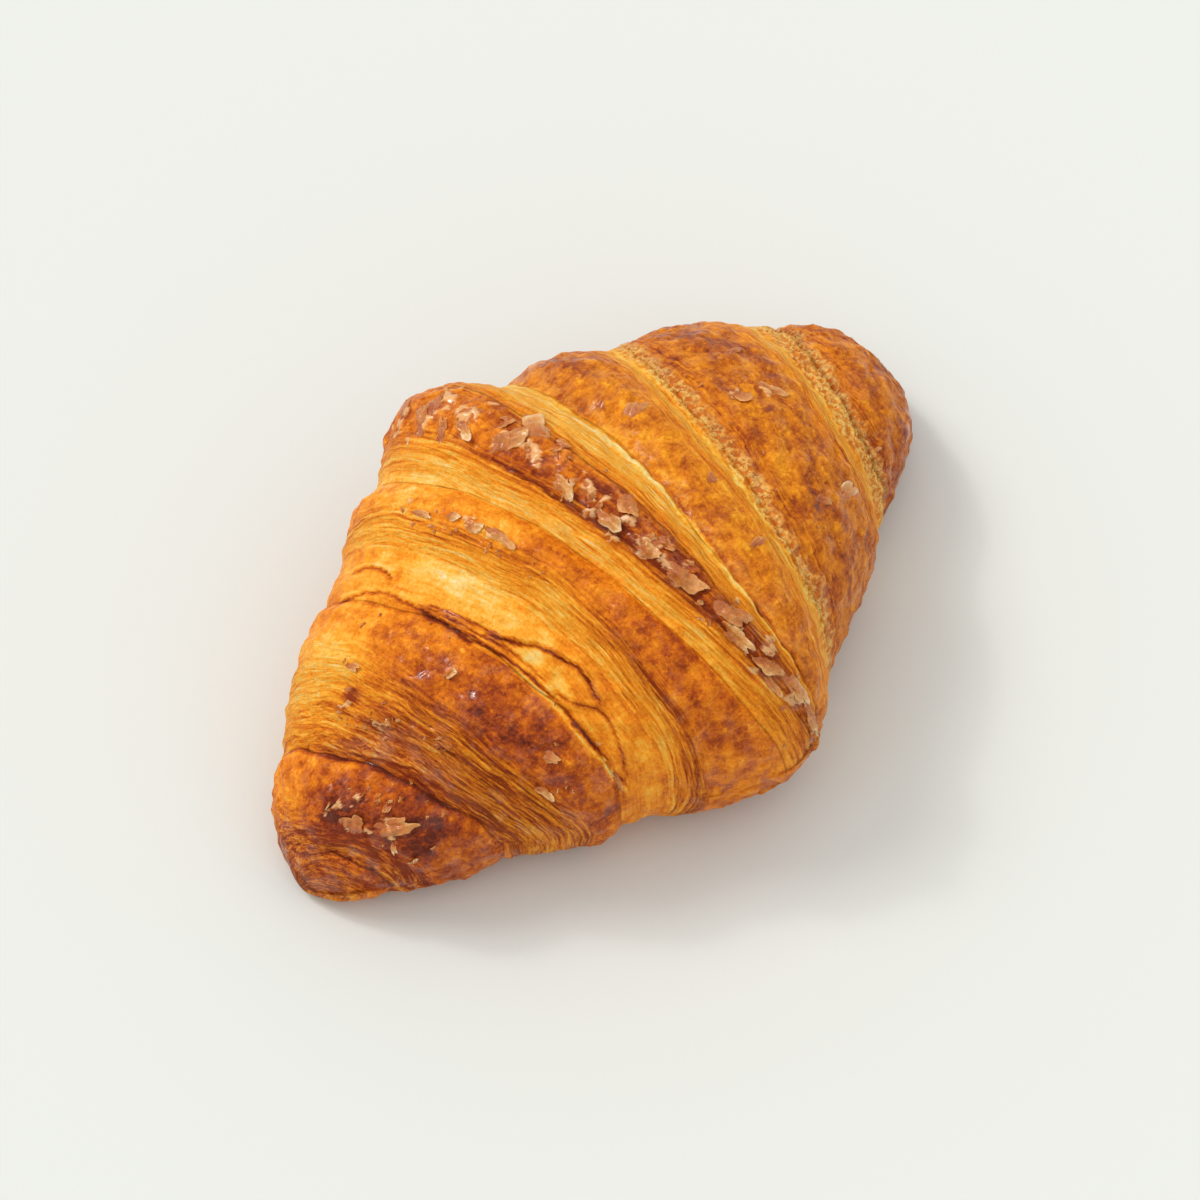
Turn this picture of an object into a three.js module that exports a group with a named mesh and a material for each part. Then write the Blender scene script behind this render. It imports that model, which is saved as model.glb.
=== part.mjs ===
// A straight all-butter croissant, as one solid. A long triangle of laminated
// dough is rolled up from its short side, so its two long cut edges wind
// outwards as helices from the middle wrap to the tips, and the triangle's
// point, the tongue, ends on the near side. Seen from above that gives seven
// segments: each wrap's browned skin ends in a lip, the lip falls away as a
// striped cut edge, and past it lies the pale dough that oven spring pulled
// open. Millimetres, +Z up. The croissant lies along X, and the tongue is at -Y.
import * as THREE from "three";

// The whole body
const HALF_LENGTH = 80;
const WIDEST_AT = 0.42; // share of the height where a section is widest
const BOTTOM_PRESS = 1.25; // how far the round underside would pass the tray, as a share
const TOP_SQUARENESS = 2.2; // superellipse exponents of a section
const BOTTOM_SQUARENESS = 2.5;
const TIP_LIFT = 2.5; // how far the tips rise off the tray
const HEIGHT_ROUNDING = 0.8; // how fast the height closes at the tips

// Fullness along the body. At the tips an ellipse closes the half width and the
// height; offset bends the centre line towards +Y.
const STATIONS = [
  { at: -80, halfWidth: 33.5, offset: 3.4, height: 37 },
  { at: -62, halfWidth: 34.8, offset: 4.1, height: 45 },
  { at: -42, halfWidth: 39.4, offset: 2.5, height: 50 },
  { at: -21, halfWidth: 45.8, offset: 0.6, height: 55 },
  { at: 0, halfWidth: 51.8, offset: -0.6, height: 58 },
  { at: 21, halfWidth: 42.6, offset: -0.6, height: 55 },
  { at: 42, halfWidth: 38, offset: 0.6, height: 50 },
  { at: 62, halfWidth: 34.6, offset: 1.2, height: 45 },
  { at: 80, halfWidth: 35.5, offset: 0.4, height: 37 },
];

// Where a wrap is measured, in degrees wound back from the tongue's point:
// low on the near side, the near shoulder, the crown, and low on the far side
const TURN = 360;
const MEASURED_AT = [0, 45, 95, 165];
const TONGUE_ANGLE = 185; // the tongue's point, in degrees round a section from +Y over the top
const SEAM_FADES_IN = 30; // degrees wound by which the relief is whole, past the tongue's point
const SEAM_FADES_OUT = 330; // and from which it fades, where the helix passes on underneath

// Each wrap on each side, from the middle out, at the four places above: lip is
// where its browned skin ends, next is where the skin of the wrap under it comes
// out. cut is the share of that gap that is cut edge, the rest being pale dough;
// drop is how far the cut edge falls, and crease the groove at its foot.
const LEFT_WRAPS = [
  { lip: [2.7, -3.8, -6.6, -10.8], next: [-5, -11, -12.9, -20], cut: 0.9, drop: [0, 1.6, 2.6, 1.8], crease: 0.2 },
  { lip: [-20, -19.2, -20, -27.5], next: [-33, -34.4, -36.8, -43.4], cut: 0.4, drop: [1.8, 2.2, 2.8, 1.2], crease: 0.4 },
  { lip: [-39.5, -47.2, -50, -53.8], next: [-52.8, -59.4, -64.4, -68.4], cut: 0.97, drop: [1.4, 2.6, 3, 1.2], crease: 0.7 },
  { lip: [-66, -70.4, -75.3, -77], next: [-71, -75, -78.2, -79], cut: 0.97, drop: [0.8, 1.2, 1.2, 0.8], crease: 0.3 },
];
const RIGHT_WRAPS = [
  { lip: [3, 0.5, 2.2, 2.2], next: [4.6, 5.2, 10.6, 14], cut: 0.9, drop: [0, 1.6, 2.6, 3], crease: 0.2 },
  { lip: [9.5, 15.8, 21.5, 29], next: [16.5, 21.4, 28, 35.8], cut: 0.62, drop: [1.2, 1.8, 2.2, 1.2], crease: 0.3 },
  { lip: [42, 45.5, 51.8, 55.2], next: [53.4, 56.8, 63, 67.6], cut: 0.5, drop: [1.4, 2.2, 2.6, 1], crease: 0.8 },
  { lip: [72, 74, 76.5, 77.5], next: [76, 77, 78.5, 79], cut: 0.9, drop: [0.4, 0.5, 0.5, 0.3], crease: 0.2 },
];
const CROWN_SWELL = 1.1; // how far the middle wrap bulges between its two lips
const SKIN_SWELL = 0.4; // how far the other skins bulge, as a share of their drop
const SKIN_RISE = 2.6; // how steeply a skin climbs out from under the wrap above it
const CREASE_WIDTH = 0.9;
const CUT_SHARES = [0.3, 0.97]; // the least and the most of a gap that is cut edge
const LIP_WANDER = 0.55; // how far an edge strays from a true helix
const WANDER_WAVES = [
  { perRadian: 5.3, height: 0.5, shift: 1 },
  { perRadian: 11.7, height: 0.3, shift: 2 },
];
const WANDER_LAG = 40; // degrees by which the foot of a cut edge strays after its lip
const TIP_WANDER = 0.3; // share of the wander that is left on the last wrap, at the tip
const UNDERSIDE_SHARE = 0.6; // how much of a wrap's drop is left where the tray pressed it flat
const TIP_FADE = [0.05, 0.35]; // closing of the body, 0 at a tip, over which all relief fades in

// Crags of the crust, and the blistered flakes on the middle wrap
const CRAG_HEIGHT = 0.3;
const FLAKE_HEIGHT = 0.7;
const FLAKE_SIZE = 5.5;
const FLAKE_STRETCH = 0.8; // flakes are longer across the body than along it
const FLAKES_FROM = [10, 35]; // degrees wound over which they begin, on the near side
const FLAKES_TO = [165, 190]; // and over which they end, on the far side

// Facets: columns round a section, and rows in each stretch from lip to lip
const COLUMNS = 80;
const CROWN_ROWS = 6;
const STRETCHES = [
  { stretch: "cut", rows: 2 },
  { stretch: "pale", rows: 1 },
  { stretch: "skin", rows: 4 },
];
const WIDE_STRETCHES = { leftcut2: 4, leftpale1: 2, rightskin1: 6, rightskin2: 6, rightpale2: 2 };
const TIP_ROWS = 2;
const SKIN_CROWDING = 1.4; // above 1, rows crowd where a skin comes out
const TIP_CROWDING = 0.7; // below 1, rows crowd towards the tip
const TOP_ENDS = 180; // degrees wound from which the rows run straight across the underside
const LEAST_GAP = 0.12; // between two rows

const { clamp, degToRad, euclideanModulo, lerp, smoothstep } = THREE.MathUtils;

// A smooth curve through the values at the knots, straight beyond them.
function through(knots, values, x) {
  const last = knots.length - 1;
  const slope = (i) => {
    const [a, b] = [Math.max(i - 1, 0), Math.min(i + 1, last)];
    return (values[b] - values[a]) / (knots[b] - knots[a]);
  };
  if (x <= knots[0]) return values[0] + (x - knots[0]) * slope(0);
  if (x >= knots[last]) return values[last] + (x - knots[last]) * slope(last);
  let i = 0;
  while (x >= knots[i + 1]) i++;
  const gap = knots[i + 1] - knots[i];
  const u = (x - knots[i]) / gap;
  return (
    (1 + 2 * u) * (1 - u) ** 2 * values[i] +
    u * (1 - u) ** 2 * gap * slope(i) +
    u * u * (3 - 2 * u) * values[i + 1] +
    u * u * (u - 1) * gap * slope(i + 1)
  );
}

const ALONG = STATIONS.map((station) => station.at);
const fullness = (what, along) => through(ALONG, STATIONS.map((station) => station[what]), along);

// The plain body before any wrap shows. tilt runs from -PI/2 at the left tip to
// PI/2 at the right one, and angle goes round a section from +Y over the top.
function body(tilt, angle) {
  const along = HALF_LENGTH * Math.sin(tilt);
  const closing = Math.max(Math.cos(tilt), 1e-6);
  const halfWidth = fullness("halfWidth", along) * closing;
  const height = fullness("height", along) * closing ** HEIGHT_ROUNDING;
  const widestZ = TIP_LIFT * Math.sin(tilt) ** 4 + WIDEST_AT * height;
  const [across, up] = [Math.cos(angle), Math.sin(angle)];
  const rise = up > 0 ? (1 - WIDEST_AT) * height : WIDEST_AT * height * BOTTOM_PRESS;
  const power = up > 0 ? TOP_SQUARENESS : BOTTOM_SQUARENESS;
  const reach = (Math.abs(across / halfWidth) ** power + Math.abs(up / rise) ** power) ** (-1 / power);
  return new THREE.Vector3(along, fullness("offset", along) + reach * across, widestZ + reach * up);
}

function bodyNormal(tilt, angle) {
  const step = 1e-3;
  const inside = clamp(tilt, -Math.PI / 2 + 0.02, Math.PI / 2 - 0.02);
  const alongBody = body(inside + step, angle).sub(body(inside - step, angle));
  const roundBody = body(inside, angle + step).sub(body(inside, angle - step));
  return roundBody.cross(alongBody).normalize();
}

// One property of a side's wraps, as a curve of the angle wound back from the tongue.
function helix(wraps, what) {
  const knots = [];
  const values = [];
  wraps.forEach((wrap, turn) => {
    MEASURED_AT.forEach((at, place) => {
      knots.push(turn * TURN + at);
      values.push(Array.isArray(wrap[what]) ? wrap[what][place] : wrap[what]);
    });
  });
  return (wound) => through(knots, values, wound);
}

function side(wraps, outward) {
  const curves = Object.fromEntries(["lip", "next", "cut", "drop", "crease"].map((what) => [what, helix(wraps, what)]));
  const wave = (wound, { perRadian, height, shift }) => height * Math.sin(degToRad(wound) * perRadian + shift * outward);
  const wander = (wound) =>
    LIP_WANDER * smoothstep(wound, 0, 2 * SEAM_FADES_IN) *
    WANDER_WAVES.reduce((sum, one) => sum + wave(wound, one), 0);
  return { outward, turns: wraps.length, curves, wander };
}
const SIDES = { left: side(LEFT_WRAPS, -1), right: side(RIGHT_WRAPS, 1) };

// Where the edges of wrap number turn lie, at an angle wound back from the tongue.
function edges({ curves, wander, outward, turns }, turn, wound) {
  const unrolled = turn * TURN + wound;
  const closing = turn === turns - 1 ? TIP_WANDER : 1;
  const lip = curves.lip(unrolled) + wander(unrolled) * closing;
  const next = curves.next(unrolled) + wander(unrolled + WANDER_LAG) * closing;
  return {
    lip,
    foot: lerp(lip, next, clamp(curves.cut(unrolled), ...CUT_SHARES)),
    next,
    drop: Math.max(curves.drop(unrolled), 0),
    crease: curves.crease(unrolled),
    outward,
  };
}

// A skin's profile from where it comes out, 0, to its lip, 1.
const skinRise = (share) => 1 - (1 - share) ** SKIN_RISE;

// How far the wraps raise or lower the body at a place along it.
function wrapRelief(along, wound) {
  const seamFade = smoothstep(wound, 0, SEAM_FADES_IN) * (1 - smoothstep(wound, SEAM_FADES_OUT, TURN));
  const crown = [edges(SIDES.left, 0, wound).lip, edges(SIDES.right, 0, wound).lip];
  if (along >= crown[0] && along <= crown[1]) {
    const share = (along - crown[0]) / Math.max(crown[1] - crown[0], 0.1);
    return CROWN_SWELL * seamFade * Math.sin(Math.PI * share) * smoothstep(crown[1] - crown[0], 0, 10);
  }
  const one = along < crown[0] ? SIDES.left : SIDES.right;
  const out = (x) => x * one.outward;
  let relief = 0;
  let before = edges(one, 0, wound);
  for (let turn = 0; turn < one.turns; turn++) {
    const wrap = edges(one, turn, wound);
    if (turn > 0 && out(along) < out(wrap.lip) && out(along) >= out(before.next)) {
      const share = (along - before.next) / (wrap.lip - before.next);
      const swell = SKIN_SWELL * seamFade * Math.sin(Math.PI * share);
      relief = before.drop * (swell - (1 - skinRise(share)));
    }
    if (out(along) >= out(wrap.lip)) {
      relief = -wrap.drop * smoothstep(out(along), out(wrap.lip), out(wrap.foot));
    }
    relief -= wrap.crease * seamFade * Math.exp(-(((along - wrap.next) / CREASE_WIDTH) ** 2));
    before = wrap;
  }
  return relief;
}

// Uneven bumps a few millimetres across.
const crags = ({ x, y, z }) =>
  CRAG_HEIGHT *
  (Math.sin(x * 0.71 + 1.9 * Math.sin(y * 0.23)) * Math.sin(y * 0.53 + z * 0.37) +
    0.6 * Math.sin(x * 1.37 + z * 0.9) * Math.sin(y * 1.13 + 2));

// Blistered flakes, only on the middle wrap's top.
function flakes(along, wound, point) {
  const [left, right] = [edges(SIDES.left, 0, wound).lip, edges(SIDES.right, 0, wound).lip];
  const onCrown = smoothstep(along, left - 1, left + 1) * (1 - smoothstep(along, right - 1, right + 1));
  const above = smoothstep(wound, ...FLAKES_FROM) * (1 - smoothstep(wound, ...FLAKES_TO));
  const wave = (2 * Math.PI) / FLAKE_SIZE;
  const bump = Math.sin(point.x * wave) * Math.sin(point.y * wave * FLAKE_STRETCH + 1);
  return FLAKE_HEIGHT * onCrown * above * Math.max(0, bump);
}

function surface(along, angleDegrees) {
  const tilt = Math.asin(clamp(along / HALF_LENGTH, -1, 1));
  const angle = degToRad(angleDegrees);
  const wound = euclideanModulo(TONGUE_ANGLE - angleDegrees, TURN);
  const point = body(tilt, angle);
  const fade = smoothstep(Math.cos(tilt), ...TIP_FADE);
  const wraps = wrapRelief(along, wound) * fade;
  const crust = (crags(point) + flakes(along, wound, point)) * fade;
  point.addScaledVector(bodyNormal(tilt, angle), wraps + crust);
  const tray = UNDERSIDE_SHARE * Math.max(-wraps, 0);
  point.z = Math.max(point.z, tray);
  return point;
}

// The rows of facets follow the edges of the wraps over the top, and close
// straight across the underside, where the helix passes on to the next wrap.
function rowsOfSide(name) {
  const one = SIDES[name];
  const rows = [];
  for (let turn = 0; turn < one.turns - 1; turn++) {
    for (const { stretch, rows: usual } of STRETCHES) {
      const count = WIDE_STRETCHES[name + stretch + turn] ?? usual;
      for (let row = 0; row < count; row++) rows.push({ turn, stretch, share: row / count });
    }
  }
  rows.push({ turn: one.turns - 1, stretch: "cut", share: 0 });
  return rows.map(({ turn, stretch, share }) => (wound) => {
    const wrap = edges(one, turn, wound);
    if (stretch === "cut") return lerp(wrap.lip, wrap.foot, share);
    if (stretch === "pale") return lerp(wrap.foot, wrap.next, share);
    return lerp(wrap.next, edges(one, turn + 1, wound).lip, share ** SKIN_CROWDING);
  });
}

function crownRows() {
  return Array.from({ length: CROWN_ROWS - 1 }, (_, row) => (wound) =>
    lerp(edges(SIDES.left, 0, wound).lip, edges(SIDES.right, 0, wound).lip, (row + 1) / CROWN_ROWS));
}

function tipRows(name) {
  const one = SIDES[name];
  return Array.from({ length: TIP_ROWS }, (_, row) => (wound) => {
    const share = ((row + 1) / (TIP_ROWS + 1)) ** TIP_CROWDING;
    return lerp(edges(one, one.turns - 1, wound).lip, one.outward * HALF_LENGTH, share);
  });
}

const rowCurves = [
  ...[...rowsOfSide("left"), ...tipRows("left")].reverse(),
  ...crownRows(),
  ...rowsOfSide("right"),
  ...tipRows("right"),
];

function rowPlace(curve, wound) {
  if (wound <= TOP_ENDS) return curve(wound);
  return lerp(curve(TOP_ENDS), curve(0), smoothstep(wound, TOP_ENDS, TURN));
}

function croissantGeometry() {
  const positions = [];
  const columns = Array.from({ length: COLUMNS }, (_, column) => {
    const angle = (column * TURN) / COLUMNS;
    const wound = euclideanModulo(TONGUE_ANGLE - angle, TURN);
    let before = -HALF_LENGTH;
    return rowCurves.map((curve) => {
      before = Math.max(rowPlace(curve, wound), before + LEAST_GAP);
      return surface(before, angle);
    });
  });
  for (let row = 0; row < rowCurves.length; row++) {
    for (const column of columns) positions.push(...column[row].toArray());
  }
  const leftTip = positions.length / 3;
  positions.push(...surface(-HALF_LENGTH, 0).toArray());
  const rightTip = leftTip + 1;
  positions.push(...surface(HALF_LENGTH, 0).toArray());

  const index = [];
  const lastRow = rowCurves.length - 1;
  const vertex = (row, column) => row * COLUMNS + (column % COLUMNS);
  for (let column = 0; column < COLUMNS; column++) {
    index.push(leftTip, vertex(0, column + 1), vertex(0, column));
    for (let row = 0; row < lastRow; row++) {
      const [a, b] = [vertex(row, column), vertex(row, column + 1)];
      const [c, d] = [vertex(row + 1, column), vertex(row + 1, column + 1)];
      index.push(a, b, d, a, d, c);
    }
    index.push(rightTip, vertex(lastRow, column), vertex(lastRow, column + 1));
  }
  const geometry = new THREE.BufferGeometry();
  geometry.setAttribute("position", new THREE.Float32BufferAttribute(positions, 3));
  geometry.setIndex(index);
  geometry.computeBoundingBox();
  const { min, max } = geometry.boundingBox;
  geometry.translate(-(min.x + max.x) / 2, -(min.y + max.y) / 2, -min.z);
  return geometry;
}

const crust = new THREE.MeshStandardMaterial({ color: 0xc9701c, roughness: 0.45, metalness: 0 });
const croissant = new THREE.Mesh(croissantGeometry(), crust);
croissant.name = "croissant";

const part = new THREE.Group();
part.add(croissant);
export default part;
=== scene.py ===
"""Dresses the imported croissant.

A dense skin repeats the body and the helical wraps of the CAD solid, from the same named sizes, and
adds what is too fine for it: the layers of the cut edges, blisters, tears and the peeling flakes.
Browning is worked out point by point and turned into colour by one procedural crust material.
Sizes are millimetres, angles degrees; only the finished meshes are in metres.
"""

import math
import random

import bpy
import numpy as np
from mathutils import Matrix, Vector, noise
from mathutils.bvhtree import BVHTree


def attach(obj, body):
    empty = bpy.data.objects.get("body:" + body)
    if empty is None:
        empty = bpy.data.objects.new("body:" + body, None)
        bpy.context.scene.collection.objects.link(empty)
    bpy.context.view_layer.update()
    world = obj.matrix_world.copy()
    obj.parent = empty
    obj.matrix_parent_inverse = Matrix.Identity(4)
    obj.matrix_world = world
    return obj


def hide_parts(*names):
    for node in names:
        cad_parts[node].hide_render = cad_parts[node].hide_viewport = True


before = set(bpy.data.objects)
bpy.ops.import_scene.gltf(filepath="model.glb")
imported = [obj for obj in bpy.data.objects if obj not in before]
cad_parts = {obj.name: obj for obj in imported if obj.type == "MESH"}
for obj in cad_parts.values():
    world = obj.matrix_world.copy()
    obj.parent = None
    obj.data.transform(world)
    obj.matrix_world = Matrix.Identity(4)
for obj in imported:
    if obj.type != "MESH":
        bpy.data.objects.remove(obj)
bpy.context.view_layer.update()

MM = 0.001
TURN = 360

# The whole body
HALF_LENGTH = 80
WIDEST_AT = 0.42
BOTTOM_PRESS = 1.25
TOP_SQUARENESS = 2.2
BOTTOM_SQUARENESS = 2.5
TIP_LIFT = 2.5
HEIGHT_ROUNDING = 0.8
END_RADIUS = 33
STRIP_RADIUS = 28
STATIONS = {
    "at": [-80, -62, -42, -21, 0, 21, 42, 62, 80],
    "half_width": [33.5, 34.8, 39.4, 45.8, 51.8, 42.6, 38, 34.6, 35.5],
    "offset": [3.4, 4.1, 2.5, 0.6, -0.6, -0.6, 0.6, 1.2, 0.4],
    "height": [37, 45, 50, 55, 58, 55, 50, 45, 37],
}

# Where a wrap is measured, in degrees wound back from the tongue's point: low on the near side,
# the near shoulder, the crown, and low on the far side
MEASURED_AT = [0, 45, 95, 165]
CROWN_AT = 95
TONGUE_ANGLE = 185

# Each wrap from the middle out: lip, next, cut, drop and crease as in the CAD source. skin, edge and
# dough are how brown its skin, its cut edge and the pale dough past it are, from 0, raw cream, to 1.
# line is how dark the painted shade in the crease is, soft how many millimetres the colour takes to change
# at the lip, crumb how crumbly the dough is, hem how crisp the foot of the cut edge, drawn as a pale rim
# with painted shade just past it, and scorch how much browner the cut edge is at its lip.
LEFT_WRAPS = [
    dict(lip=[2.7, -3.8, -6.6, -10.8], next=[-5, -11, -12.9, -20], cut=0.9, drop=[0, 1.6, 2.6, 1.8],
         crease=0.2, line=[0.1, 0.05, 0.05, 0.1], soft=0.6, crumb=0, hem=0.2, scorch=0.24,
         skin=[0.7, 0.76, 0.72, 0.58], edge=[0.54, 0.44, 0.34, 0.36], dough=[0.48, 0.4, 0.33, 0.36]),
    dict(lip=[-20, -19.2, -20, -27.5], next=[-33, -34.4, -36.8, -43.4], cut=0.4, drop=[1.8, 2.2, 2.8, 1.2],
         crease=0.4, line=[0.3, 0.25, 0.3, 0.5], soft=1.6, crumb=0, hem=0.2, scorch=0.22,
         skin=[0.6, 0.65, 0.57, 0.42], edge=[0.52, 0.46, 0.42, 0.4], dough=[0.52, 0.48, 0.41, 0.42]),
    dict(lip=[-39.5, -47.2, -50, -53.8], next=[-52.8, -59.4, -64.4, -68.4], cut=0.97,
         drop=[1.4, 2.6, 3, 1.2], crease=0.7, line=[0.1, 0.25, 0.7, 0.9], soft=[2, 2.4, 3.2, 5], crumb=0,
         hem=0.1, scorch=0.06,
         skin=[0.68, 0.76, 0.63, 0.5], edge=[0.6, 0.64, 0.54, 0.34], dough=[0.66, 0.8, 0.74, 0.46]),
    dict(lip=[-66, -70.4, -75.3, -77], next=[-71, -75, -78.2, -79], cut=0.97, drop=[0.8, 1.2, 1.2, 0.8],
         crease=0.3, line=0.3, soft=1.5, crumb=0, hem=0.1, scorch=0.1,
         skin=[0.68, 0.74, 0.72, 0.56], edge=[0.7, 0.74, 0.74, 0.68], dough=0.7),
]
RIGHT_WRAPS = [
    dict(lip=[3, 0.5, 2.2, 2.2], next=[4.6, 5.2, 10.6, 14], cut=0.9, drop=[0, 1.6, 2.6, 3],
         crease=0.2, line=0.1, soft=1, crumb=0.2, hem=0.5, scorch=0.24,
         skin=[0.7, 0.76, 0.72, 0.58], edge=[0.62, 0.44, 0.3, 0.3], dough=[0.6, 0.4, 0.28, 0.3]),
    dict(lip=[9.5, 15.8, 21.5, 29], next=[16.5, 21.4, 28, 35.8], cut=0.62, drop=[1.2, 1.8, 2.2, 1.2],
         crease=0.3, line=[0.1, 0.1, 0.1, 0.15], soft=3, crumb=0.9, hem=0.35, scorch=0.2,
         skin=[0.62, 0.58, 0.57, 0.64], edge=[0.38, 0.34, 0.33, 0.38], dough=[0.4, 0.36, 0.36, 0.4]),
    dict(lip=[42, 45.5, 51.8, 55.2], next=[53.4, 56.8, 63, 67.6], cut=0.5, drop=[1.4, 2.2, 2.6, 1],
         crease=0.8, line=0.6, soft=2.6, crumb=1, hem=0.35, scorch=0.2,
         skin=[0.66, 0.63, 0.61, 0.67], edge=[0.46, 0.4, 0.36, 0.36], dough=[0.4, 0.38, 0.36, 0.38]),
    dict(lip=[72, 74, 76.5, 77.5], next=[76, 77, 78.5, 79], cut=0.9, drop=[0.4, 0.5, 0.5, 0.3],
         crease=0.2, line=0.3, soft=1, crumb=0, hem=0.2, scorch=0.1,
         skin=[0.74, 0.68, 0.62, 0.64], edge=[0.76, 0.72, 0.7, 0.7], dough=[0.74, 0.72, 0.7, 0.7]),
]
CROWN_SWELL = 1.1
SKIN_SWELL = 0.4
SKIN_RISE = 2.6
CREASE_WIDTH = 0.9
LIP_WANDER = 0.55
UNDERSIDE_SHARE = 0.6
TRAY_BROWNING = 0.62

# Across a wrap, in millimetres: how blurred the foot of its cut edge and its crease are, how wide the
# line of painted shade in the crease and the striped brink are, how far crumbs spill where the crease is
# faint, and how far the right side's strip is set off, so that its layers differ from the left side's
FOOT_BLUR = 1.2
CREASE_BLUR = 0.25
LINE_WIDTH = 0.38
BRINK_WIDTH = 2.2
CRUMB_SPILL = 2.8
RIGHT_ACROSS = 500

# Fine relief: heights in millimetres, and the lengths over which they vary
CRAG_HEIGHT = 0.3
LAYER_HEIGHT = 0.2
LAYER_SPACING = 0.62
LAYER_LENGTH = 12
BLISTER_HEIGHT = 0.22
BLISTER_SIZE = 3.4
PLATE_HEIGHT = 0.18
CROWN_PLATE_HEIGHT = 0.42
PLATE_SIZE = 4.4
CRUMB_HEIGHT = 0.4
CRUMB_SIZE = 1.9
TEAR_WANDER = 0.35
TEAR_REACH = 6
HOLLOW_REACH = 3  # how many mesh points to each side a point is held against

# Torn edges of single layers, each a route of (along, angle) places. The layer stands up by height on
# the side towards the right tip, or with rise -1 towards the left tip. rim and gap are how much browner
# its edge and the hollow beside it are, the hollow partly baked and partly painted shade, and strands how
# much browner the broken layers along it.
TEARS = [
    dict(route=[(-43.5, 26), (-41.1, 36), (-38.7, 48), (-37.9, 64), (-36.8, 86), (-35.6, 102)],
         height=0.4, rim=0.02, gap=0.25, strands=0.06),
    dict(route=[(-37.3, 78), (-36, 98), (-34.9, 116), (-34.4, 132), (-34.1, 148), (-33.2, 162),
                (-31.7, 175)],
         rise=-1, height=0.5, rim=-0.42, gap=0.25),
    dict(route=[(-38.4, 58), (-37.4, 76), (-36.3, 94), (-35.4, 108), (-34.6, 122), (-33.8, 134)],
         height=0.4, rim=0.14, gap=0.15, strands=0.12),
    dict(route=[(-37.6, 60), (-35.8, 82), (-33.9, 102), (-33.2, 114), (-33, 126)],
         height=0.35, rim=0.12, gap=0.24, strands=0.08),
    dict(route=[(-36.6, 66), (-34.4, 84), (-32.4, 103), (-31.4, 110)],
         height=0.3, rim=0, gap=0.24, strands=0.08),
    dict(route=[(-34.5, 92), (-32.4, 103), (-29.5, 114), (-28.1, 123), (-27.3, 129),
                (-28.1, 136), (-28.8, 142)],
         height=0.7, rim=0.18, gap=0.3, strands=0.14),
    dict(route=[(-33.2, 128), (-31.7, 136), (-29.6, 141), (-29.2, 147), (-29.9, 154), (-32, 170)],
         height=0.5, rim=0.12, gap=0.22),
    dict(route=[(-37.7, 26), (-36, 34), (-35.3, 42), (-36, 50)], height=0.4, rim=-0.08, gap=0.25),
    dict(route=[(-9.2, 44), (-7.6, 70), (-6.4, 92), (-4.8, 111), (-3.6, 136), (-2.2, 166)],
         height=0.5, rim=0.06, gap=0.24, strands=0.12),
    dict(route=[(11.6, 60), (10.4, 90), (7.6, 118), (5.2, 140), (4.3, 168)],
         rise=-1, height=0.24, rim=-0.08, gap=0.13),
    dict(route=[(-59.5, 60), (-57.5, 84), (-54.4, 110), (-50.6, 134)], height=0.35, rim=0.1, gap=0.13),
    dict(route=[(-64.5, 76), (-61.4, 102), (-57.4, 128)], height=0.3, rim=-0.06, gap=0.13),
]

# Broad patches: along, angle, reach in millimetres and how much browner
BROWNED_PATCHES = [
    (-65, 146, 7, 0.1), (-47, 46, 9, -0.12), (-44, 128, 9, 0.06), (-55.8, 67, 1.8, 0.25),
    (-57, 100, 8, 0.08), (-50, 40, 5, -0.06), (41, 82, 4, 0.08), (37, 140, 5, 0.06), (-72.6, 92, 3.6, 0.1),
    (-71.4, 108, 4, 0.14), (-69, 124, 4, 0.1), (-64.5, 150, 5.5, 0.14), (-73, 50, 6, -0.14),
    (-24, 36, 6, -0.1), (-56.3, 63, 1.4, 0.25), (-33.6, 40, 4, -0.08), (-32.2, 52, 4, -0.12),
    (-30.8, 64, 4.2, -0.15), (-29.8, 75, 4.4, -0.16), (-29.3, 87, 4.2, -0.13), (-29.3, 99, 3.6, -0.12),
    (-29.6, 112, 3, -0.1), (-32.4, 115, 2.6, -0.16), (-33, 127, 2.6, -0.14), (-31, 150, 3, -0.06),
    (-16.5, 74, 6, -0.08), (-19.5, 104, 6, -0.08), (-48, 46, 5, -0.06), (-2, 150, 5, 0.05),
    (46, 56, 6, 0.08), (-20, 110, 8, -0.06),
]

# Where the outermost layer has blown up into thin films: along, angle, reach in millimetres
FILMED = [
    (-9.5, 18, 5), (-7, 28, 6), (-2, 30, 4), (-4.8, 42, 5), (-3.6, 55, 4.5), (-4.6, 66, 3.2),
    (-4.6, 78, 3.6), (-4, 90, 3.8), (-3.6, 102, 3.8), (-3, 114, 3.6), (-2.2, 126, 3.6), (-1.2, 139, 3.8),
    (-0.4, 151, 3.6), (0.8, 163, 3.4), (2, 175, 3), (-22.6, 42, 1.8), (-21.8, 52, 2), (-20.8, 62, 2.2),
    (-20, 73, 2.4), (-71, 104, 3), (-68.6, 120, 3.6), (-66, 136, 3.4), (-58, 66, 2), (-57, 92, 2.4),
    (37.6, 88, 2.4), (42.6, 96, 2.2),
]
FILM_SIZE = 3.4
FILM_HEIGHT = 0.42

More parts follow.
